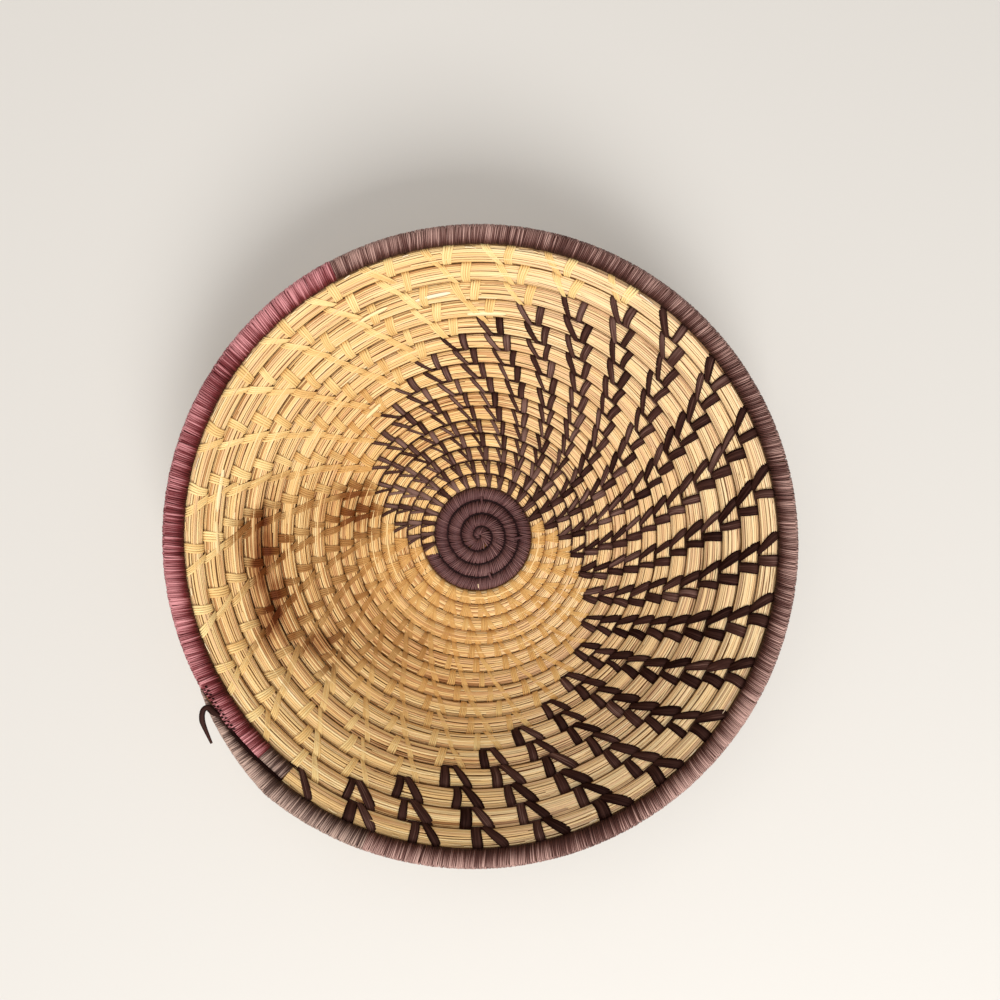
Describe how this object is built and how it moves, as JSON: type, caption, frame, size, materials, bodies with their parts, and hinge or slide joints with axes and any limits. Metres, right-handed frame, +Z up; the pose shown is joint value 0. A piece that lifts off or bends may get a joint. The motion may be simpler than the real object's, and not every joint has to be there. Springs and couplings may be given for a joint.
{
  "type": "coiled basket bowl",
  "caption": "Round open bowl of coiled straw sewn with raffia in a dark and natural swirl, with a wrapped centre and a wrapped rim.",
  "frame": {"origin": "middle of the bowl's outer size, on the flat underside", "axes": "+Z up out of the bowl's mouth; +X to the right and +Y to the top as the bowl lies in the picture"},
  "size_m": [0.2988, 0.3018, 0.0715],
  "materials": {
    "straw": "dry golden straw stalks, matt with a faint sheen",
    "natural_raffia": "undyed raffia strips, matt",
    "dark_raffia": "raffia strips dyed blackish brown, slightly glossy fibres",
    "centre_raffia": "plum brown dyed raffia, closely wrapped",
    "rim_raffia": "grey plum dyed raffia, closely wrapped, pale fibres",
    "mauve_raffia": "mauve dyed raffia, closely wrapped, pale fibres"
  },
  "bodies": {
    "root": {"straw_coil": "straw", "centre_wrap": "centre_raffia", "rim_wrap_start": "rim_raffia", "rim_wrap_mauve": "mauve_raffia", "rim_wrap_dark": "rim_raffia", "dark_strand_01": "dark_raffia", "dark_strand_02": "dark_raffia", "dark_strand_03": "dark_raffia", "dark_strand_04": "dark_raffia", "dark_strand_05": "dark_raffia", "dark_strand_06": "dark_raffia", "dark_strand_07": "dark_raffia", "dark_strand_08": "dark_raffia", "dark_strand_09": "dark_raffia", "dark_strand_10": "dark_raffia", "dark_strand_11": "dark_raffia", "dark_strand_12": "dark_raffia", "dark_strand_13": "dark_raffia", "dark_strand_14": "dark_raffia", "dark_strand_15": "dark_raffia", "dark_strand_16": "dark_raffia", "natural_strand_01": "natural_raffia", "natural_strand_02": "natural_raffia", "natural_strand_03": "natural_raffia", "natural_strand_04": "natural_raffia", "natural_strand_05": "natural_raffia", "natural_strand_06": "natural_raffia", "natural_strand_07": "natural_raffia", "natural_strand_08": "natural_raffia", "natural_strand_09": "natural_raffia", "natural_strand_10": "natural_raffia", "natural_strand_11": "natural_raffia", "natural_strand_12": "natural_raffia", "natural_strand_13": "natural_raffia", "natural_strand_14": "natural_raffia", "natural_strand_15": "natural_raffia", "end_binding": "dark_raffia", "loose_tail": "dark_raffia"}
  },
  "joints": []
}
